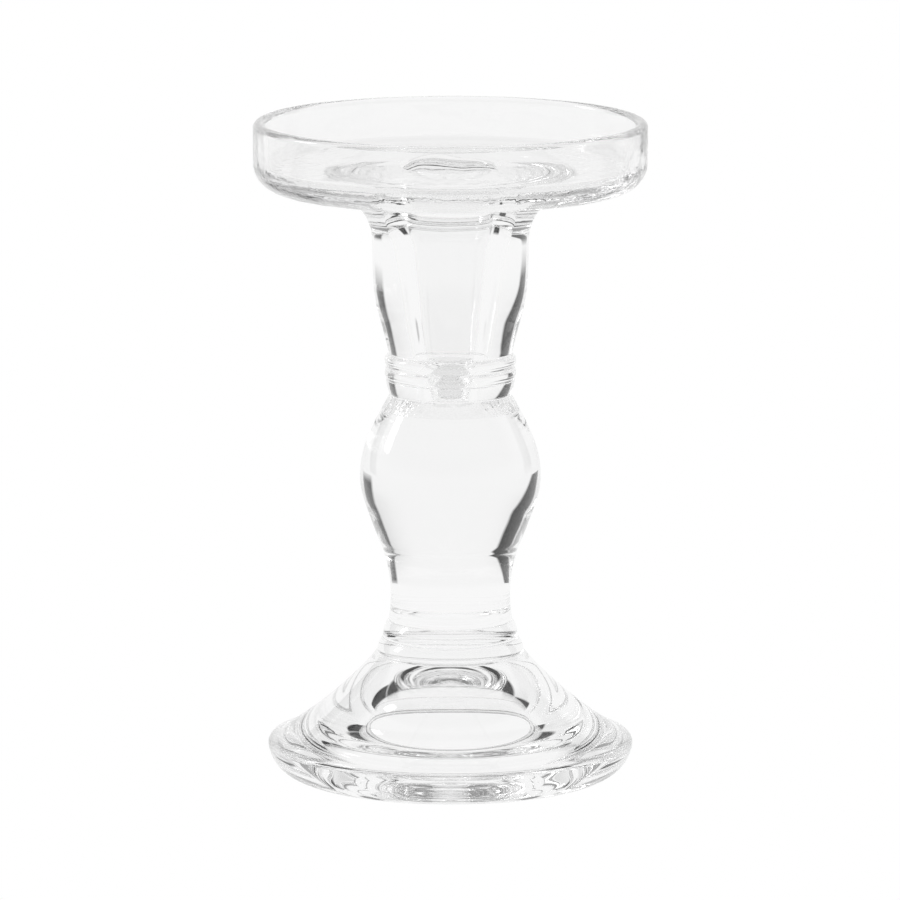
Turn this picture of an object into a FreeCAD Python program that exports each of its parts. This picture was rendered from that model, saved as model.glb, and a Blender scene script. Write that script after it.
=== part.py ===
"""Glass candlestick: six gathers of clear glass joined hot, one above the other on one axis.

The frame's origin is the middle of the plane that the foot stands on, +Z is the turning axis, and
lengths are millimetres. Each gather is one PartDesign body: a half outline turned about the axis,
with its hollow cut by a second outline. Gathers meet face to face on flat joints.
"""
import FreeCAD, Part
import math
import os

import Sketcher

# Driving dimensions, as (name, millimetres, meaning). Radii are from the turning axis, and
# heights are above the standing plane.
SIZES = [
    ("foot_radius", 45.6, "largest radius of the foot"),
    ("foot_stand_radius", 36.6, "outer radius of the flat ring that the foot stands on"),
    ("foot_widest_height", 8.0, "where the foot's rolled edge is widest"),
    ("foot_edge_radius", 44.35, "top of the rolled edge"),
    ("foot_edge_height", 10.17, "top of the rolled edge"),
    ("foot_flare_radius", 38.0, "where the brim turns up into the flare"),
    ("foot_flare_height", 13.7, "where the brim turns up into the flare"),
    ("foot_flare_top_radius", 19.05, "top of the flare, where its edge rounds off"),
    ("foot_flare_top", 30.8, "top of the flare, where its edge rounds off"),
    ("foot_top_round", 0.5, "rounding of the flare's top edge"),
    ("foot_top_radius", 18.6, "joint of the foot and the double ring"),
    ("foot_top", 31.2, "joint of the foot and the double ring"),
    ("hollow_mouth_radius", 32.6, "mouth of the hollow under the foot"),
    ("hollow_lip", 0.8, "rounding of the hollow's mouth"),
    ("hollow_bend_radius", 27.5, "where the hollow's wall turns out into its flared mouth"),
    ("hollow_bend_height", 5.6, "where the hollow's wall turns out into its flared mouth"),
    ("hollow_dome_radius", 20.6, "where the hollow's dome turns down into its wall"),
    ("hollow_dome_height", 10.9, "where the hollow's dome turns down into its wall"),
    ("hollow_crown", 24.4, "top of the hollow"),
    ("crease_round", 0.5, "hollow rounding in the bottom of each crease"),
    ("crease_half", 0.28, "half the height of a rounded crease"),
    ("lower_ring_radius", 18.3, "foot of the lower ring"),
    ("lower_ring_neck", 17.25, "top of the lower ring"),
    ("lower_ring_round", 5.0, "bulge of the lower ring"),
    ("ring_crease", 35.0, "crease between the two rings"),
    ("upper_ring_radius", 16.95, "foot of the upper ring"),
    ("upper_ring_neck", 15.7, "top of the upper ring"),
    ("upper_ring_round", 6.5, "bulge of the upper ring"),
    ("rings_top", 39.2, "joint of the double ring and the stem"),
    ("waist_foot_radius", 15.45, "stem where it rises from the rings"),
    ("waist_round", 35.0, "hollow curve of the waist"),
    ("waist_top_radius", 17.5, "waist where the knop starts"),
    ("waist_top", 58.9, "waist where the knop starts"),
    ("knop_foot_radius", 17.6, "start of the knop, a fine step out from the waist"),
    ("knop_foot", 59.05, "start of the knop"),
    ("knop_foot_round", 150.0, "long curve of the knop's lower side"),
    ("knop_rise_radius", 21.82, "end of the knop's lower side"),
    ("knop_rise", 70.66, "end of the knop's lower side"),
    ("knop_radius", 22.6, "widest part of the knop"),
    ("knop_height", 75.6, "widest part of the knop"),
    ("knop_shoulder_radius", 20.9, "knop's shoulder"),
    ("knop_shoulder", 84.9, "knop's shoulder"),
    ("knop_fall_radius", 17.2, "knop's steep upper side"),
    ("knop_fall", 92.8, "knop's steep upper side"),
    ("knop_top_radius", 15.15, "joint of the stem and the collar"),
    ("stem_top", 96.4, "joint of the stem and the collar"),
    ("collar_foot_radius", 15.3, "foot of the collar"),
    ("collar_taper_round", 12.0, "bulge of the collar's tapered part"),
    ("collar_crease_radius", 16.1, "creases between the collar's rings"),
    ("collar_low_crease", 100.4, "lower crease of the collar"),
    ("collar_ring_round", 3.0, "bulge of the collar's main ring"),
    ("collar_high_crease", 103.6, "upper crease of the collar"),
    ("collar_bead_round", 2.1, "bulge of the collar's top bead"),
    ("collar_top_radius", 15.65, "joint of the collar and the candle cup"),
    ("collar_top", 106.6, "joint of the collar and the candle cup"),
    ("cup_foot_radius", 15.45, "candle cup where it rises from the collar"),
    ("cup_flank_round", 300.0, "hollow curve of the cup's lower flank"),
    ("cup_flank_radius", 17.9, "end of the cup's lower flank"),
    ("cup_flank_height", 116.6, "end of the cup's lower flank"),
    ("cup_shoulder_radius", 19.1, "cup's shoulder"),
    ("cup_shoulder", 123.5, "cup's shoulder"),
    ("cup_radius", 19.5, "candle cup under the dish"),
    ("cup_top", 134.8, "joint of the candle cup and the dish"),
    ("dish_radius", 49.0, "largest radius of the dish"),
    ("dish_underside", 147.8, "flat underside of the dish"),
    ("dish_neck_round", 13.0, "hollow curve from the cup to the dish's underside"),
    ("dish_corner_round", 6.9, "rounding between the dish's underside and its side"),
    ("dish_rim_round", 1.6, "half the thickness of the rim"),
    ("dish_height", 165.0, "top of the rim, the whole height"),
    ("dish_floor", 153.0, "floor of the dish, where a pillar candle stands"),
    ("dish_floor_radius", 45.4, "inside of the dish at its floor"),
    ("dish_floor_round", 2.0, "corner between the floor and the wall"),
    ("socket_mouth_round", 1.2, "rounding of the socket's mouth"),
    ("socket_mouth_radius", 11.4, "taper candle's socket at its mouth"),
    ("socket_floor_radius", 5.95, "socket at the collar joint"),
    ("socket_ledge_drop", 1.6, "ledge's depth under the collar joint"),
    ("well_radius", 5.2, "well under the socket, at its mouth"),
    ("well_floor_radius", 3.1, "well at its foot"),
    ("well_floor_round", 1.0, "rounding of the well's floor"),
    ("well_floor", 97.3, "floor of the well"),
]
SIZE = {name: value for name, value, meaning in SIZES}
FULL_TURN = 360.0
SMALL = 1e-6


def total(words):
    """The value of a sum written in the sheet's names, such as 'dish_height - dish_rim_round'."""
    result, sign = 0.0, 1.0
    for word in words.split():
        if word in "+-":
            sign = 1.0 if word == "+" else -1.0
        else:
            result += sign * SIZE.get(word, 0.0)
    return result


def formula(words):
    """The same sum as an expression that reads the sheet."""
    return " ".join(word if word in "+-" else "Sizes." + word for word in words.split())


def make_sheet(doc):
    sheet = doc.addObject("Spreadsheet::Sheet", "Sizes")
    for row, (name, value, meaning) in enumerate(SIZES, start=1):
        sheet.set(f"A{row}", name)
        sheet.set(f"B{row}", str(value))
        sheet.set(f"C{row}", meaning)
        sheet.setAlias(f"B{row}", name)
    doc.recompute()
    return sheet


def centre_from_radius(start, end, radius, bulge):
    """Centre of a short arc. bulge 'out' keeps the centre on the left of the way it runs."""
    half = (end - start) * 0.5
    rise = math.sqrt(max(radius**2 - half.Length**2, 0.0))
    left = FreeCAD.Vector(-half.y, half.x, 0).normalize()
    return start + half + left * (rise if bulge == "out" else -rise)


def centre_from_heading(start, end, heading):
    """Centre of the arc that leaves start along heading and reaches end, and the side it is on."""
    chord = end - start
    left = FreeCAD.Vector(-heading.y, heading.x, 0)
    reach = chord.dot(chord) / (2.0 * chord.dot(left))
    return start + left * reach, "out" if reach > 0 else "in"


class Outline:
    """A closed half outline in a sketch on the XZ plane, drawn point by point and fully tied."""

    def __init__(self, body, name):
        self.sketch = body.newObject("Sketcher::SketchObject", name)
        plane = next(f for f in body.Origin.OriginFeatures if f.Role == "XZ_Plane")
        self.sketch.AttachmentSupport = [(plane, "")]
        self.sketch.MapMode = "FlatFace"
        self.at = None
        self.heading = None
        self.last = None
        self.first = None

    def tie(self, kind, edge, end, words):
        """Binds one coordinate of an edge's end to the sheet, or puts it on the axis it lies on."""
        value = total(words)
        if abs(value) < SMALL:
            axis = -2 if kind == "DistanceX" else -1
            self.sketch.addConstraint(Sketcher.Constraint("PointOnObject", edge, end, axis))
            return
        index = self.sketch.addConstraint(Sketcher.Constraint(kind, -1, 1, edge, end, value))
        self.sketch.setExpression(f"Constraints[{index}]", formula(words))

    def start(self, radius, height):
        self.at = FreeCAD.Vector(total(radius), total(height), 0)
        self.first_words = (radius, height)
        return self

    def join(self, edge, begin, end, radius, height, smooth=False):
        """Ties a new edge to the last one, and its far end to the sheet."""
        if self.last is None:
            self.first = (edge, begin)
            self.tie("DistanceX", edge, begin, self.first_words[0])
            self.tie("DistanceY", edge, begin, self.first_words[1])
        else:
            kind = "Tangent" if smooth else "Coincident"
            self.sketch.addConstraint(Sketcher.Constraint(kind, *self.last, edge, begin))
        self.last = (edge, end)
        if radius is not None:
            self.tie("DistanceX", edge, end, radius)
            self.tie("DistanceY", edge, end, height)

    def line(self, radius, height):
        there = FreeCAD.Vector(total(radius), total(height), 0)
        edge = self.sketch.addGeometry(Part.LineSegment(self.at, there), False)
        self.join(edge, 1, 2, radius, height)
        self.heading = (there - self.at).normalize()
        self.at = there
        return self

    def draw_arc(self, centre, there, bulge):
        """Adds the arc and returns it with the point numbers of its near and far ends."""
        near, far = self.at - centre, there - centre
        first, second = (near, far) if bulge == "out" else (far, near)
        circle = Part.Circle(centre, FreeCAD.Vector(0, 0, 1), near.Length)
        angles = math.atan2(first.y, first.x), math.atan2(second.y, second.x)
        edge = self.sketch.addGeometry(Part.ArcOfCircle(circle, *angles), False)
        turn = 1.0 if bulge == "out" else -1.0
        self.heading = FreeCAD.Vector(-far.y, far.x, 0).normalize() * turn
        self.at = there
        return (edge, 1, 2) if bulge == "out" else (edge, 2, 1)

    def arc(self, radius, height, round_words, bulge="out"):
        """An arc of a given radius to the next point."""
        there = FreeCAD.Vector(total(radius), total(height), 0)
        centre = centre_from_radius(self.at, there, total(round_words), bulge)
        edge, begin, end = self.draw_arc(centre, there, bulge)
        self.join(edge, begin, end, radius, height)
        index = self.sketch.addConstraint(Sketcher.Constraint("Radius", edge, total(round_words)))
        self.sketch.setExpression(f"Constraints[{index}]", formula(round_words))
        return self

    def flow(self, radius, height):
        """An arc that carries on smoothly from the last edge to the next point."""
        there = FreeCAD.Vector(total(radius), total(height), 0)
        centre, bulge = centre_from_heading(self.at, there, self.heading)
        edge, begin, end = self.draw_arc(centre, there, bulge)
        self.join(edge, begin, end, radius, height, smooth=True)
        return self

    def crease(self, radius, height):
        """The rounded bottom of a crease, from half under its height to half over it."""
        return self.arc(radius, height + " + crease_half", "crease_round", "in")

    def crease_end(self, radius, height):
        """The upper part of a crease that starts on a joint, at the joint's own edge."""
        return self.arc(radius, height + " + crease_half + crease_half", "crease_round", "in")

    def dome(self, radius, height):
        """An arc from a point on the axis, centred on the axis, so that the crown is level."""
        there = FreeCAD.Vector(total(radius), total(height), 0)
        heading = FreeCAD.Vector(1, 0, 0)
        centre, bulge = centre_from_heading(self.at, there, heading)
        edge, begin, end = self.draw_arc(centre, there, bulge)
        self.join(edge, begin, end, radius, height)
        self.sketch.addConstraint(Sketcher.Constraint("PointOnObject", edge, 3, -2))
        return self

    def close(self):
        """A straight edge back to the first point."""
        there = FreeCAD.Vector(total(self.first_words[0]), total(self.first_words[1]), 0)
        edge = self.sketch.addGeometry(Part.LineSegment(self.at, there), False)
        self.join(edge, 1, 2, None, None)
        self.sketch.addConstraint(Sketcher.Constraint("Coincident", edge, 2, *self.first))
        return self.sketch


def make_body(doc, label):
    body = doc.addObject("PartDesign::Body", "Body_" + label)
    body.Label = label
    body.Placement = FreeCAD.Placement()
    return body


def turn(body, sketch):
    """Turns an outline about the vertical axis into glass."""
    feature = body.newObject("PartDesign::Revolution", "Turned_" + body.Label)
    feature.Profile = sketch
    feature.ReferenceAxis = (sketch, ["V_Axis"])
    feature.Angle = FULL_TURN
    return feature


def hollow(body, sketch):
    """Cuts an outline turned about the vertical axis out of the body."""
    feature = body.newObject("PartDesign::Groove", "Hollow_" + body.Label)
    feature.Profile = sketch
    feature.ReferenceAxis = (sketch, ["V_Axis"])
    feature.Angle = FULL_TURN
    return feature


def make_foot(doc):
    """Spreading foot with a rolled edge, domed out underneath so that it stands on a flat ring."""
    body = make_body(doc, "foot")
    outer = Outline(body, "FootOutline").start("0", "0").line("foot_stand_radius", "0")
    outer.flow("foot_radius", "foot_widest_height").flow("foot_edge_radius", "foot_edge_height")
    outer.flow("foot_flare_radius", "foot_flare_height")
    outer.flow("foot_flare_top_radius", "foot_flare_top")
    outer.arc("foot_top_radius", "foot_top", "foot_top_round").line("0", "foot_top")
    turn(body, outer.close())
    inner = Outline(body, "FootHollow").start("0", "hollow_crown")
    inner.dome("hollow_dome_radius", "hollow_dome_height")
    inner.flow("hollow_bend_radius", "hollow_bend_height").flow("hollow_mouth_radius", "hollow_lip")
    inner.arc("hollow_mouth_radius + hollow_lip", "0", "hollow_lip").line("0", "0")
    hollow(body, inner.close())
    return body


def make_foot_rings(doc):
    """Double ring between the foot and the stem, with a crease between its two rounds."""
    body = make_body(doc, "foot_rings")
    outer = Outline(body, "RingsOutline").start("0", "foot_top").line("foot_top_radius", "foot_top")
    outer.crease_end("lower_ring_radius", "foot_top")
    outer.arc("lower_ring_neck", "ring_crease - crease_half", "lower_ring_round")
    outer.crease("upper_ring_radius", "ring_crease")
    outer.arc("upper_ring_neck", "rings_top", "upper_ring_round").line("0", "rings_top")
    turn(body, outer.close())
    return body


def make_baluster_stem(doc):
    """Solid stem: a drawn-in waist below and a swelling knop above it."""
    body = make_body(doc, "baluster_stem")
    outer = Outline(body, "StemOutline").start("0", "rings_top").line("upper_ring_neck", "rings_top")
    outer.crease_end("waist_foot_radius", "rings_top")
    outer.arc("waist_top_radius", "waist_top", "waist_round", "in").line("knop_foot_radius", "knop_foot")
    outer.arc("knop_rise_radius", "knop_rise", "knop_foot_round")
    outer.flow("knop_radius", "knop_height").flow("knop_shoulder_radius", "knop_shoulder")
    outer.flow("knop_fall_radius", "knop_fall").flow("knop_top_radius", "stem_top")
    outer.line("0", "stem_top")
    turn(body, outer.close())
    return body


def make_collar(doc):
    """Collar of a tapered round, a ring and a bead, with the small well under the candle's socket."""
    body = make_body(doc, "collar")
    outer = Outline(body, "CollarOutline").start("0", "stem_top").line("knop_top_radius", "stem_top")
    outer.crease_end("collar_foot_radius", "stem_top")
    outer.arc("collar_crease_radius", "collar_low_crease - crease_half", "collar_taper_round")
    outer.crease("collar_crease_radius", "collar_low_crease")
    outer.arc("collar_crease_radius", "collar_high_crease - crease_half", "collar_ring_round")
    outer.crease("collar_crease_radius", "collar_high_crease")
    outer.arc("collar_top_radius", "collar_top", "collar_bead_round").line("0", "collar_top")
    turn(body, outer.close())
    inner = Outline(body, "CollarWell").start("0", "well_floor")
    inner.line("well_floor_radius - well_floor_round", "well_floor")
    inner.arc("well_floor_radius", "well_floor + well_floor_round", "well_floor_round")
    inner.line("well_radius", "collar_top - socket_ledge_drop")
    inner.line("socket_floor_radius", "collar_top").line("0", "collar_top")
    hollow(body, inner.close())
    return body


def make_candle_cup(doc):
    """Candle cup: a tulip-shaped neck with the tapered socket that grips a thin candle."""
    body = make_body(doc, "candle_cup")
    outer = Outline(body, "CupOutline").start("0", "collar_top").line("collar_top_radius", "collar_top")
    outer.crease_end("cup_foot_radius", "collar_top")
    outer.arc("cup_flank_radius", "cup_flank_height", "cup_flank_round", "in")
    outer.flow("cup_shoulder_radius", "cup_shoulder").flow("cup_radius", "cup_top").line("0", "cup_top")
    turn(body, outer.close())
    return body


def make_dish(doc):
    """Dish with a low wall and a round rim, thick floored, on a neck that flows into the cup."""
    body = make_body(doc, "dish")
    outer = Outline(body, "DishOutline").start("0", "cup_top").line("cup_radius", "cup_top")
    outer.arc("cup_radius + dish_neck_round", "dish_underside", "dish_neck_round", "in")
    outer.line("dish_radius - dish_corner_round", "dish_underside")
    outer.arc("dish_radius", "dish_underside + dish_corner_round", "dish_corner_round")
    outer.line("dish_radius", "dish_height - dish_rim_round")
    outer.arc("dish_radius - dish_rim_round", "dish_height", "dish_rim_round")
    outer.arc("dish_radius - dish_rim_round - dish_rim_round", "dish_height - dish_rim_round",
              "dish_rim_round")
    outer.line("dish_floor_radius", "dish_floor + dish_floor_round")
    outer.arc("dish_floor_radius - dish_floor_round", "dish_floor", "dish_floor_round", "in")
    outer.line("0", "dish_floor")
    turn(body, outer.close())
    return body


def bore_socket(body):
    """Cuts the tapered socket, which runs through the dish and the candle cup to the collar."""
    mouth = "socket_mouth_radius + socket_mouth_round"
    inner = Outline(body, "Socket_" + body.Label).start("0", "collar_top")
    inner.line("socket_floor_radius", "collar_top")
    inner.line("socket_mouth_radius", "dish_floor - socket_mouth_round")
    inner.arc(mouth, "dish_floor", "socket_mouth_round", "in").line("0", "dish_floor")
    hollow(body, inner.close())


def check(doc, bodies):
    """Stops if any object failed, or if a gather isn't one valid solid."""
    for thing in doc.Objects:
        if "Invalid" in thing.State or "Error" in thing.State:
            raise RuntimeError(f"{thing.Label} failed: {thing.State}")
    for body in bodies:
        if body.Shape.isNull() or not body.Shape.isValid() or len(body.Shape.Solids) != 1:
            raise RuntimeError(f"{body.Label} is not one valid solid")


def main():
    doc = FreeCAD.newDocument("GlassCandlestick")
    make_sheet(doc)
    candle_cup, dish = make_candle_cup(doc), make_dish(doc)
    bore_socket(candle_cup)
    bore_socket(dish)
    bodies = [make_foot(doc), make_foot_rings(doc), make_baluster_stem(doc), make_collar(doc),
              candle_cup, dish]
    doc.recompute()
    check(doc, bodies)
    os.makedirs("parts", exist_ok=True)
    for body in bodies:
        body.Shape.exportStep(f"parts/{body.Label}.step")
        box = body.Shape.optimalBoundingBox(False, False)
        print(f"{body.Label}: {body.Shape.Volume / 1000:.1f} cm3, widest {box.XLength:.1f},"
              f" z {box.ZMin:.1f} to {box.ZMax:.1f}")


main()
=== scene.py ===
import math

import bpy
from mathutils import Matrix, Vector, noise


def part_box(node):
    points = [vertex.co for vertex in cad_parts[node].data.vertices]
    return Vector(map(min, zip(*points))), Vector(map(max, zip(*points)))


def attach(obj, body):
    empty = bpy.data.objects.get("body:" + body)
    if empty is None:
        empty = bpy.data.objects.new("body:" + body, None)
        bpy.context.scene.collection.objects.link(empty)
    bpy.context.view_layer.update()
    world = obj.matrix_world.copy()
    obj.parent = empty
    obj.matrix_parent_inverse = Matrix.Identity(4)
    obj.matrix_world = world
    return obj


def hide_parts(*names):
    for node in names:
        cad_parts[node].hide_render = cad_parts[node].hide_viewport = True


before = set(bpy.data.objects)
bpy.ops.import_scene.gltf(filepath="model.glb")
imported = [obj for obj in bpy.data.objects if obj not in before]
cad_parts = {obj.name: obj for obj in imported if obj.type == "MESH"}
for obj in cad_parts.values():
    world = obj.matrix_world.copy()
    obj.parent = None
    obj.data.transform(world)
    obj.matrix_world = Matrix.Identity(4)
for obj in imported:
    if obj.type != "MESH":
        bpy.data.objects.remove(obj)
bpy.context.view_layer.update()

# The column is turned about +Z. The glass is sized in millimetres and MM turns them into metres. The
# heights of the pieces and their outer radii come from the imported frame.
MM = 0.001
BODY = "root"

# How finely the glass is turned: slices round the axis, steps along an outline, and the angle from
# which an edge stays sharp.
SLICES = 360
ARC_STEP = math.radians(5.0)
LONGEST_STEP = 1.1
SHARP_FROM = math.radians(24.0)
ON_AXIS = 1e-6

# The waves of the fire polished skin: their lengths, what each adds, and how far from a joint they
# reach their full depth.
SLOW_WAVE, SLOW_SHARE = 13.0, 0.36
QUICK_WAVE, QUICK_SHARE = 4.5, 0.14
MIDDLE_SHARE = 0.5
CALM_REACH = 2.5


def top_of(node):
    """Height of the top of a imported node."""
    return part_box(node)[1].z / MM


def radius_of(node):
    """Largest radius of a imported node."""
    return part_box(node)[1].x / MM


# ---------------------------------------------------------------- outlines of the gathers


class Outline:
    """Half outline of a turned piece: points (radius, height) with a skin name for each stretch."""

    def __init__(self, radius, height):
        self.points = [(radius, height)]
        self.skins = []
        self.heading = (1.0, 0.0)

    def extend(self, points, skin):
        """Adds points that all have the same skin."""
        self.points += points
        self.skins += [skin] * len(points)

    def line(self, radius, height, skin="clear"):
        """A straight stretch, cut into short steps so that the surface can carry its waviness."""
        r, z = self.points[-1]
        length = math.hypot(radius - r, height - z)
        steps = max(1, math.ceil(length / LONGEST_STEP)) if skin != "joint" else 1
        self.extend([(r + (radius - r) * i / steps, z + (height - z) * i / steps)
                     for i in range(1, steps + 1)], skin)
        self.heading = ((radius - r) / length, (height - z) / length)
        return self

    def around(self, centre, radius, height, turn, skin="clear"):
        """An arc about a centre, turning left (1) or right (-1), to the given end."""
        r, z = self.points[-1]
        size = math.hypot(r - centre[0], z - centre[1])
        first = math.atan2(z - centre[1], r - centre[0])
        swept = (math.atan2(height - centre[1], radius - centre[0]) - first) * turn % math.tau
        steps = max(2, math.ceil(swept / ARC_STEP), math.ceil(size * swept / LONGEST_STEP))
        angles = [first + turn * swept * i / steps for i in range(1, steps + 1)]
        self.extend([(centre[0] + size * math.cos(a), centre[1] + size * math.sin(a))
                     for a in angles], skin)
        self.points[-1] = (radius, height)
        self.heading = (-math.sin(angles[-1]) * turn, math.cos(angles[-1]) * turn)
        return self

    def arc(self, radius, height, size, turn=1, skin="clear"):
        """An arc of a given radius. It turns left for a bulge and right for a hollow curve."""
        r, z = self.points[-1]
        half = Vector(((radius - r) / 2, (height - z) / 2))
        rise = math.sqrt(max(size**2 - half.length_squared, 0.0)) * turn / half.length
        return self.around((r + half.x - half.y * rise, z + half.y + half.x * rise),
                           radius, height, turn, skin)

    def crease(self, radius, height):
        """The rounded bottom of a crease, from half under its height to half over it."""
        return self.arc(radius, height + CREASE_HALF, CREASE_ROUND, -1)

    def crease_end(self, radius, height):
        """A crease that starts on a joint, at the joint's own edge."""
        return self.arc(radius, height + 2 * CREASE_HALF, CREASE_ROUND, -1)

    def flow(self, radius, height, skin="clear"):
        """An arc that carries on smoothly from the last stretch."""
        r, z = self.points[-1]
        chord = Vector((radius - r, height - z))
        left = Vector((-self.heading[1], self.heading[0]))
        reach = chord.length_squared / (2.0 * chord.dot(left))
        return self.around((r + left.x * reach, z + left.y * reach), radius, height,
                           1 if reach > 0 else -1, skin)


FOOT_TOP, RINGS_TOP = top_of("foot"), top_of("foot_rings")
STEM_TOP, COLLAR_TOP = top_of("baluster_stem"), top_of("collar")
CUP_TOP, DISH_TOP = top_of("candle_cup"), top_of("dish")
FOOT_RADIUS, DISH_RADIUS = radius_of("foot"), radius_of("dish")

# The glass's radius at each hot joint.
RINGS_JOINT = 18.6
STEM_JOINT = 15.7
COLLAR_JOINT = 15.15
CUP_JOINT = 15.65
DISH_JOINT = 19.5

# The socket, the dish's floor that it opens in, and the round and half width of a crease.
SOCKET_FLOOR_RADIUS = 5.95
SOCKET_MOUTH_RADIUS = 11.4
SOCKET_MOUTH_ROUND = 1.2
DISH_FLOOR = 153.0
CREASE_ROUND = 0.5
CREASE_HALF = 0.28


def socket_radius(height):
    """The socket is one cone from the collar joint to the round of its mouth."""
    mouth = DISH_FLOOR - SOCKET_MOUTH_ROUND
    share = (height - COLLAR_TOP) / (mouth - COLLAR_TOP)
    return SOCKET_FLOOR_RADIUS + (SOCKET_MOUTH_RADIUS - SOCKET_FLOOR_RADIUS) * share


def foot_outline():
    """Spreading foot with a rolled edge, domed out below, with a flared mouth and a flat ring."""
    crown, dome, bend = 24.4, (20.6, 10.9), (27.5, 5.6)
    mouth, lip, stand = 32.6, 0.8, 36.6
    edge, shoulder = (FOOT_RADIUS, 8.0), (44.35, 10.17)
    slope, flare, flare_round = (38.0, 13.7), (19.05, 30.8), 0.5
    outline = Outline(0.0, crown).flow(*dome).flow(*bend).flow(mouth, lip)
    outline.arc(mouth + lip, 0.0, lip).line(stand, 0.0)
    outline.flow(*edge).flow(*shoulder).flow(*slope).flow(*flare)
    return outline.arc(RINGS_JOINT, FOOT_TOP, flare_round).line(0.0, FOOT_TOP, "joint")


def foot_rings_outline():
    """Two rounds with a crease between them."""
    start, lower_round, upper_round = 18.3, 5.0, 6.5
    crease_height, crease_foot, crease_head = 35.0, 17.25, 16.95
    outline = Outline(0.0, FOOT_TOP).line(RINGS_JOINT, FOOT_TOP, "joint")
    outline.crease_end(start, FOOT_TOP)
    outline.arc(crease_foot, crease_height - CREASE_HALF, lower_round)
    outline.crease(crease_head, crease_height).arc(STEM_JOINT, RINGS_TOP, upper_round)
    return outline.line(0.0, RINGS_TOP, "joint")


def stem_outline():
    """Waist, a fine step, and the knop."""
    start, waist_top, waist_round, step_top = 15.45, (17.5, 58.9), 35.0, (17.6, 59.05)
    knop_foot, knop_foot_round, knop_widest = (21.82, 70.66), 150.0, (22.6, 75.6)
    knop_shoulder, knop_neck = (20.9, 84.9), (17.2, 92.8)
    outline = Outline(0.0, RINGS_TOP).line(STEM_JOINT, RINGS_TOP, "joint")
    outline.crease_end(start, RINGS_TOP).arc(*waist_top, waist_round, -1)
    outline.line(*step_top).arc(*knop_foot, knop_foot_round)
    outline.flow(*knop_widest).flow(*knop_shoulder).flow(*knop_neck)
    # The last arc into the collar joint has chill wrinkles and painted grey shade.
    return outline.flow(COLLAR_JOINT, STEM_TOP, "wrinkled_painted_shade").line(0.0, STEM_TOP, "joint")


def collar_outline():
    """Tapered round, ring and bead, around the well under the candle's socket."""
    start, crease_radius, lower_crease, upper_crease = 15.3, 16.1, 100.4, 103.6
    taper_round, ring_round, bead_round = 12.0, 3.0, 2.1
    well_radius, well_floor, floor_radius, floor_round, ledge = 5.2, 97.3, 3.1, 1.0, 1.6
    outline = Outline(0.0, STEM_TOP).line(COLLAR_JOINT, STEM_TOP, "joint")
    outline.crease_end(start, STEM_TOP).arc(crease_radius, lower_crease - CREASE_HALF, taper_round)
    outline.crease(crease_radius, lower_crease)
    outline.arc(crease_radius, upper_crease - CREASE_HALF, ring_round)
    outline.crease(crease_radius, upper_crease).arc(CUP_JOINT, COLLAR_TOP, bead_round)
    outline.line(SOCKET_FLOOR_RADIUS, COLLAR_TOP, "joint")
    # The well's sides and floor carry the plunger's print and painted grey shade.
    outline.line(well_radius, COLLAR_TOP - ledge, "pressed_painted_shade")
    outline.line(floor_radius, well_floor + floor_round, "pressed_painted_shade")
    outline.arc(floor_radius - floor_round, well_floor, floor_round, -1, "pressed_painted_shade")
    return outline.line(0.0, well_floor, "pressed_painted_shade")


def candle_cup_outline():
    """Tulip-shaped neck around the tapered socket."""
    start, flank, flank_round, shoulder = 15.45, (17.9, 116.6), 300.0, (19.1, 123.5)
    outline = Outline(SOCKET_FLOOR_RADIUS, COLLAR_TOP).line(CUP_JOINT, COLLAR_TOP, "joint")
    outline.crease_end(start, COLLAR_TOP).arc(*flank, flank_round, -1)
    outline.flow(*shoulder).flow(DISH_JOINT, CUP_TOP)
    outline.line(socket_radius(CUP_TOP), CUP_TOP, "joint")
    return outline.line(SOCKET_FLOOR_RADIUS, COLLAR_TOP)


def dish_outline():
    """Thick floor, low wall and round rim, on a neck that flows into the cup."""
    underside, corner, rim, floor_radius, floor_round = 147.8, 6.9, 1.6, 45.4, 2.0
    outline = Outline(socket_radius(CUP_TOP), CUP_TOP).line(DISH_JOINT, CUP_TOP, "joint")
    outline.arc(DISH_JOINT + underside - CUP_TOP, underside, underside - CUP_TOP, -1)
    outline.line(DISH_RADIUS - corner, underside)
    # The round lower corner has chill marks and painted darker shade.
    outline.arc(DISH_RADIUS, underside + corner, corner, 1, "chilled_painted_shade")
    outline.line(DISH_RADIUS, DISH_TOP - rim)
    outline.around((DISH_RADIUS - rim, DISH_TOP - rim), DISH_RADIUS - 2 * rim, DISH_TOP - rim, 1)
    outline.line(floor_radius, DISH_FLOOR + floor_round)
    outline.arc(floor_radius - floor_round, DISH_FLOOR, floor_round, -1)
    outline.line(SOCKET_MOUTH_RADIUS + SOCKET_MOUTH_ROUND, DISH_FLOOR)
    outline.arc(SOCKET_MOUTH_RADIUS, DISH_FLOOR - SOCKET_MOUTH_ROUND, SOCKET_MOUTH_ROUND)
    return outline.line(socket_radius(CUP_TOP), CUP_TOP)


# ---------------------------------------------------------------- turning an outline into glass


def stillness(height):
    """0 on a joint or on the standing plane, 1 a few millimetres away from them."""
    planes = (0.0, FOOT_TOP, RINGS_TOP, STEM_TOP, COLLAR_TOP, CUP_TOP)
    return min(1.0, min(abs(height - plane) for plane in planes) / CALM_REACH)


def sunk(x, y, height, depth):
    """How far the fire polished skin lies under the true outline here: slow, uneven waves."""
    place = Vector((x, y, height))
    slow, quick = noise.noise(place / SLOW_WAVE), noise.noise(place / QUICK_WAVE)
    waves = MIDDLE_SHARE + SLOW_SHARE * slow + QUICK_SHARE * quick
    return depth * stillness(height) * min(max(waves, 0.0), 1.0)


def inward(points, closed):
    """The way into the glass at each point of an outline, as (radius, height)."""
    ways = []
    last = len(points) - 1
    for i in range(len(points)):
        before = points[i - 1] if i or closed else points[i]
        after = points[(i + 1) % len(points)] if i < last or closed else points[i]
        along = Vector((after[0] - before[0], after[1] - before[1])).normalized()
        ways.append((-along.y, along.x))
    return ways


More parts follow.
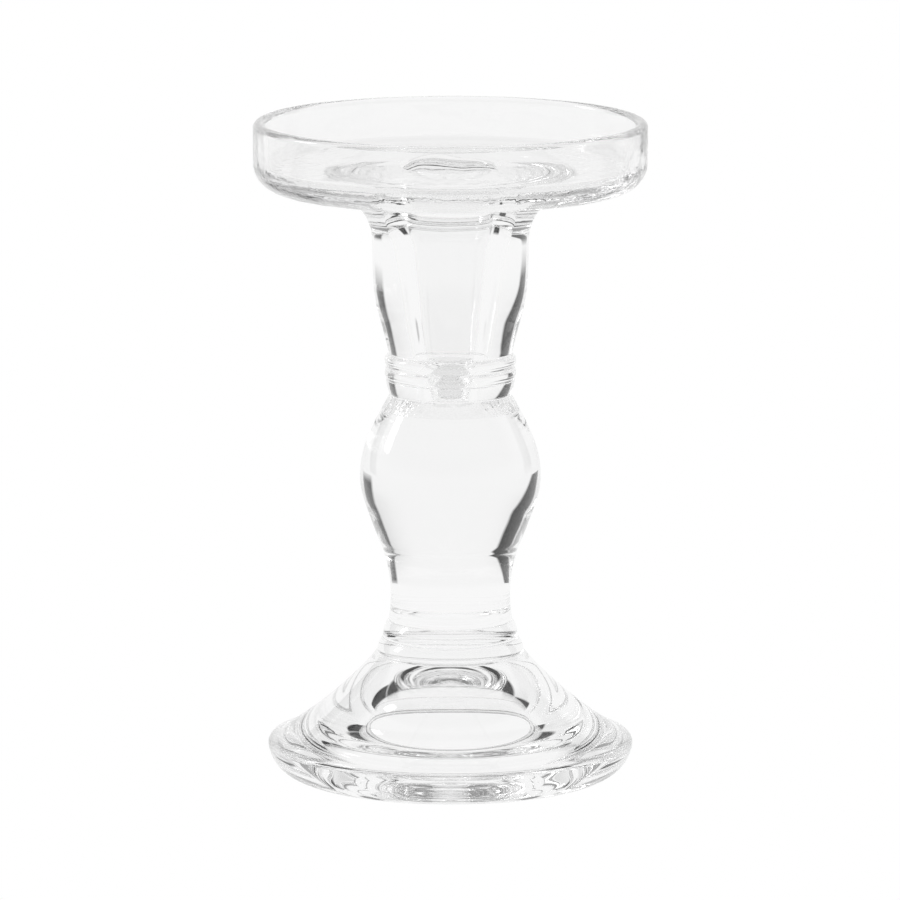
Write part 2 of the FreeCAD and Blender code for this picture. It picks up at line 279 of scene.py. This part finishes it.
def ring_of(verts, point, way, depth):
    """The numbers of one ring's points, or of the one point on the axis."""
    radius, height = point
    first = len(verts)
    if radius < ON_AXIS:
        verts.append((0.0, 0.0, height * MM))
        return [first]
    for i in range(SLICES):
        across, along = math.cos(math.tau * i / SLICES), math.sin(math.tau * i / SLICES)
        sink = sunk(radius * across, radius * along, height, depth)
        r, z = radius + way[0] * sink, height + way[1] * sink
        verts.append((r * across * MM, r * along * MM, z * MM))
    return list(range(first, first + SLICES))


def turned(name, outline, materials, depth):
    """A closed turned mesh with its normals out of the glass and its creases kept sharp."""
    closed = outline.points[0][0] > 0
    points = outline.points[:-1] if closed else outline.points
    verts, faces, skins = [], [], []
    rings = [ring_of(verts, point, way, depth)
             for point, way in zip(points, inward(points, closed))]
    if closed:
        rings.append(rings[0])
    names = list(materials)
    for low, high, skin in zip(rings, rings[1:], outline.skins):
        for i in range(SLICES):
            j = (i + 1) % SLICES
            if len(low) == 1:
                faces.append((low[0], high[j], high[i]))
            elif len(high) == 1:
                faces.append((low[i], low[j], high[0]))
            else:
                faces.append((low[i], low[j], high[j], high[i]))
            skins.append(names.index(skin))
    mesh = bpy.data.meshes.new(name)
    mesh.from_pydata(verts, [], faces)
    for material in materials.values():
        mesh.materials.append(material)
    mesh.polygons.foreach_set("material_index", skins)
    mesh.polygons.foreach_set("use_smooth", [True] * len(faces))
    mesh.update()
    mesh.set_sharp_from_angle(angle=SHARP_FROM)
    piece = bpy.data.objects.new(name, mesh)
    bpy.context.scene.collection.objects.link(piece)
    return piece


# ---------------------------------------------------------------- glass

GLASS_IOR = 1.52
WHITE = "FFFFFF"


def linear(hex_colour):
    """An sRGB hex colour as linear red, green, blue and alpha."""
    values = [int(hex_colour[i:i + 2], 16) / 255 for i in (0, 2, 4)]
    return [v / 12.92 if v <= 0.04045 else ((v + 0.055) / 1.055) ** 2.4 for v in values] + [1.0]


def add(tree, kind, inputs=None, **settings):
    """Adds a node with its settings; an input is a value or another node's output."""
    node = tree.nodes.new(kind)
    for key, value in settings.items():
        setattr(node, key, value)
    for key, value in (inputs or {}).items():
        if isinstance(value, bpy.types.NodeSocket):
            tree.links.new(value, node.inputs[key])
        else:
            node.inputs[key].default_value = value
    return node


def new_material(name):
    """An empty material and its node tree."""
    material = bpy.data.materials.new(name)
    material.use_nodes = True
    material.node_tree.nodes.clear()
    return material, material.node_tree


def glass(name, tint, gloss, roughness, detail, wave, depth):
    """Soda-lime glass whose skin carries a fine relief: wave is its spacing and depth its height."""
    material, tree = new_material(name)
    place = add(tree, "ShaderNodeTexCoord").outputs["Object"]
    relief = add(tree, "ShaderNodeTexNoise", {"Vector": place, "Scale": 1 / (wave * MM),
                                              "Detail": detail})
    bump = add(tree, "ShaderNodeBump", {"Height": relief.outputs[0], "Strength": 1.0,
                                        "Distance": depth * MM})
    shader = add(tree, "ShaderNodeBsdfPrincipled", {
        "Base Color": linear(tint), "Roughness": roughness, "IOR": GLASS_IOR,
        "Specular Tint": linear(gloss), "Transmission Weight": 1.0, "Normal": bump.outputs[0]})
    add(tree, "ShaderNodeOutputMaterial", {"Surface": shader.outputs[0]})
    return material


def clear_glass():
    """Pressed soda-lime glass, fire polished: water white, with faint cords from the gather."""
    return glass("clear_soda_lime_glass", tint="FBFBFB", gloss=WHITE, roughness=0.0,
                 detail=0.0, wave=11.0, depth=0.01)


def wrinkled_painted_shade_glass():
    """Chill wrinkles under the collar, where the glass first met the cold mould. Its greyer tint and
    dimmer gloss than the clear glass are painted grey shade.
    """
    return glass("chill_wrinkled_painted_shade_glass", tint="F2F2F2", gloss="E0E0E0", roughness=0.02,
                 detail=2.0, wave=2.2, depth=0.5)


def chilled_painted_shade_glass():
    """Chill marks on the dish's round lower corner, where thick glass cooled against the mould. Its
    greyer tint and much dimmer gloss are painted darker shade on the corner.
    """
    return glass("chill_marked_painted_shade_glass", tint="F0F0F0", gloss="C4C4C4", roughness=0.02,
                 detail=2.0, wave=5.0, depth=0.3)


def pressed_painted_shade_glass():
    """The plunger's print in the well: glass with fine chill wrinkles, made to look slightly grey by
    a greyer tint and a dimmer gloss, which are painted grey shade.
    """
    return glass("plunger_chilled_painted_shade_glass", tint="EAEAEA", gloss="D0D0D0", roughness=0.02,
                 detail=2.0, wave=2.6, depth=0.08)


def fused_joint():
    """Where two gathers were joined hot the glass is one, so the joint can't be seen at all."""
    material, tree = new_material("fused_hot_joint")
    shader = add(tree, "ShaderNodeBsdfPrincipled", {
        "Base Color": linear(WHITE), "Roughness": 0.0, "IOR": 1.0, "Alpha": 0.0})
    add(tree, "ShaderNodeOutputMaterial", {"Surface": shader.outputs[0]})
    return material


# ---------------------------------------------------------------- camera, floor and light

# The camera and the table are sized in metres.
CAMERA_DISTANCE = 2.153
CAMERA_ELEVATION = math.radians(9.77)
CAMERA_AIM = Vector((-0.0001, 0.0, 0.0822))
CAMERA_LENS = 345.7
FLOOR_GAP = 0.2 * MM
TABLE_RADIUS = 1.1
TABLE_SIDES = 96

# How bright the table and the tent are for the glass, and how bright both look straight on.
TABLE_GLOW = 0.97
TENT_GLOW = 0.97
SEEN_GLOW = 1.0
LAMP_GLOW = 6.0

# Patches of the tent, in degrees: two sides, each as its azimuth at the horizon and how far it
# leans over for each degree up, then the lowest and highest elevation, then how soft the sides
# and the ends are. Azimuth is 0 behind the glass and grows to the right.
LEFT_GAP = (((-70, 0.5), (-52, 1.0)), (-5, 31), 4, 4)
RIGHT_GAP = (((51, 0.0), (70, -0.1)), (-2, 31), 4, 6)
TOP_GAP = (((-62, 0.0), (62, 0.0)), (31, 46), 6, 4)
LAMP = (((-86, 0.0), (-74, 0.0)), (16, 34), 3, 3)

# Where the tent grows dimmer: each pair of degrees is where that starts and where it is complete.
SIDE_AZIMUTHS, SIDE_ELEVATIONS = (20, 60), (0, 12)
FRONT_AZIMUTHS, FRONT_ELEVATIONS, FRONT_TOP = (70, 100), (-2, 24), (65, 45)

# The share of the light that is lost there and in the gaps, and a patch's cover at its edge.
SIDE_LOSS = 0.16 / TENT_GLOW
FRONT_LOSS = 0.7
GAP_LOSS = 0.98
EDGE_MIDDLE = 0.5


def make_camera():
    """A long lens in front of the column, looking slightly down at it."""
    data = bpy.data.cameras.new("camera")
    data.lens = CAMERA_LENS
    camera = bpy.data.objects.new("camera", data)
    back = Vector((0.0, -math.cos(CAMERA_ELEVATION), math.sin(CAMERA_ELEVATION)))
    camera.location = CAMERA_AIM + back * CAMERA_DISTANCE
    camera.rotation_euler = (math.pi / 2 - CAMERA_ELEVATION, 0.0, 0.0)
    bpy.context.scene.collection.objects.link(camera)
    bpy.context.scene.camera = camera


def make_floor():
    """A round white light table: it glows evenly under the glass, so the glass has no shadow."""
    turns = [math.tau * i / TABLE_SIDES for i in range(TABLE_SIDES)]
    mesh = bpy.data.meshes.new("floor")
    mesh.from_pydata([(TABLE_RADIUS * math.cos(a), TABLE_RADIUS * math.sin(a), -FLOOR_GAP)
                      for a in turns], [], [list(range(TABLE_SIDES))])
    material, tree = new_material("white_light_table")
    camera_ray = add(tree, "ShaderNodeLightPath").outputs["Is Camera Ray"]
    glow = add(tree, "ShaderNodeMapRange", {"Value": camera_ray, "To Min": TABLE_GLOW,
                                            "To Max": SEEN_GLOW})
    surface = add(tree, "ShaderNodeEmission", {"Color": linear(WHITE),
                                               "Strength": glow.outputs["Result"]})
    add(tree, "ShaderNodeOutputMaterial", {"Surface": surface.outputs[0]})
    mesh.materials.append(material)
    floor = bpy.data.objects.new("floor", mesh)
    bpy.context.scene.collection.objects.link(floor)


def tent_patch(tree, azimuth, elevation, sides, ends, side_soft, end_soft):
    """1 on a patch of the tent and 0 off it, with soft edges."""
    edges = [(elevation, math.radians(ends[0]), end_soft),
             (elevation, math.radians(ends[1]), -end_soft)]
    for (start, lean), soft in zip(sides, (side_soft, -side_soft)):
        side = add(tree, "ShaderNodeMath", {0: elevation, 1: lean, 2: math.radians(start)},
                   operation="MULTIPLY_ADD")
        edges.append((azimuth, side.outputs[0], soft))
    cover = 1.0
    for angle, limit, soft in edges:
        past = add(tree, "ShaderNodeMath", {0: angle, 1: limit}, operation="SUBTRACT")
        inside = add(tree, "ShaderNodeMath", {0: past.outputs[0], 1: 1 / math.radians(soft),
                                              2: EDGE_MIDDLE},
                     operation="MULTIPLY_ADD", use_clamp=True)
        cover = add(tree, "ShaderNodeMath", {0: cover, 1: inside.outputs[0]},
                    operation="MULTIPLY").outputs[0]
    return cover


def tent_fades(tree, fades):
    """1 where every fade is complete and 0 where one hasn't started, smooth between."""
    cover = 1.0
    for angle, (start, complete) in fades:
        fade = add(tree, "ShaderNodeMapRange", {"Value": angle, "From Min": math.radians(start),
                                                "From Max": math.radians(complete)},
                   interpolation_type="SMOOTHSTEP")
        cover = add(tree, "ShaderNodeMath", {0: cover, 1: fade.outputs["Result"]},
                    operation="MULTIPLY").outputs[0]
    return cover


def make_light():
    """A white tent round the table. Dark gaps behind the glass, on both sides and above, draw its
    edges, the sides and the front are dimmer, and one small lamp shines in from the left."""
    world = bpy.data.worlds.new("white_tent")
    bpy.context.scene.world = world
    world.use_nodes = True
    tree = world.node_tree
    tree.nodes.clear()

    way = add(tree, "ShaderNodeTexCoord").outputs["Generated"]
    parts = add(tree, "ShaderNodeSeparateXYZ", {0: way}).outputs
    elevation = add(tree, "ShaderNodeMath", {0: parts["Z"]}, operation="ARCSINE").outputs[0]
    azimuth = add(tree, "ShaderNodeMath", {0: parts["X"], 1: parts["Y"]},
                  operation="ARCTAN2").outputs[0]
    aside = add(tree, "ShaderNodeMath", {0: azimuth}, operation="ABSOLUTE").outputs[0]

    gaps = 0.0
    for gap in (LEFT_GAP, RIGHT_GAP, TOP_GAP):
        gaps = add(tree, "ShaderNodeMath", {0: gaps, 1: tent_patch(tree, azimuth, elevation, *gap)},
                   operation="MAXIMUM").outputs[0]
    sides = tent_fades(tree, ((aside, SIDE_AZIMUTHS), (elevation, SIDE_ELEVATIONS)))
    front = tent_fades(tree, ((aside, FRONT_AZIMUTHS), (elevation, FRONT_ELEVATIONS),
                              (elevation, FRONT_TOP)))
    tent = TENT_GLOW
    for cover, loss in ((sides, SIDE_LOSS), (front, FRONT_LOSS), (gaps, GAP_LOSS)):
        kept = add(tree, "ShaderNodeMath", {0: cover, 1: -loss, 2: 1.0}, operation="MULTIPLY_ADD")
        tent = add(tree, "ShaderNodeMath", {0: tent, 1: kept.outputs[0]},
                   operation="MULTIPLY").outputs[0]
    lamp = tent_patch(tree, azimuth, elevation, *LAMP)
    tent = add(tree, "ShaderNodeMath", {0: lamp, 1: LAMP_GLOW, 2: tent}, operation="MULTIPLY_ADD")

    glow = add(tree, "ShaderNodeBackground", {"Color": linear(WHITE), "Strength": tent.outputs[0]})
    seen = add(tree, "ShaderNodeBackground", {"Color": linear(WHITE), "Strength": SEEN_GLOW})
    camera_ray = add(tree, "ShaderNodeLightPath").outputs["Is Camera Ray"]
    both = add(tree, "ShaderNodeMixShader", {0: camera_ray, 1: glow.outputs[0],
                                             2: seen.outputs[0]})
    add(tree, "ShaderNodeOutputWorld", {"Surface": both.outputs[0]})


def make_object():
    """Every gather's outline, with the depth of its waves in millimetres, turned and mounted."""
    # Three of the skins pair real chill relief with painted grey shade in a greyer tint and a dimmer
    # gloss.
    materials = {"clear": clear_glass(), "wrinkled_painted_shade": wrinkled_painted_shade_glass(), "chilled_painted_shade": chilled_painted_shade_glass(),
                 "pressed_painted_shade": pressed_painted_shade_glass(), "joint": fused_joint()}
    pieces = {"foot": (foot_outline(), 0.05), "foot_rings": (foot_rings_outline(), 0.1),
              "baluster_stem": (stem_outline(), 0.08), "collar": (collar_outline(), 0.1),
              "candle_cup": (candle_cup_outline(), 0.08), "dish": (dish_outline(), 0.16)}
    for node, (outline, depth) in pieces.items():
        piece = turned(node + "_glass", outline, materials, depth)
        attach(piece, BODY)
        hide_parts(node)


# Light turns many times inside solid glass before it leaves, and a low limit leaves black spots.
LIGHT_BOUNCES = 64

make_camera()
make_floor()
make_light()
make_object()
scene = bpy.context.scene
scene.view_settings.view_transform = "Standard"
scene.cycles.max_bounces = LIGHT_BOUNCES
scene.cycles.glossy_bounces = LIGHT_BOUNCES
scene.cycles.transmission_bounces = LIGHT_BOUNCES
scene.cycles.transparent_max_bounces = LIGHT_BOUNCES
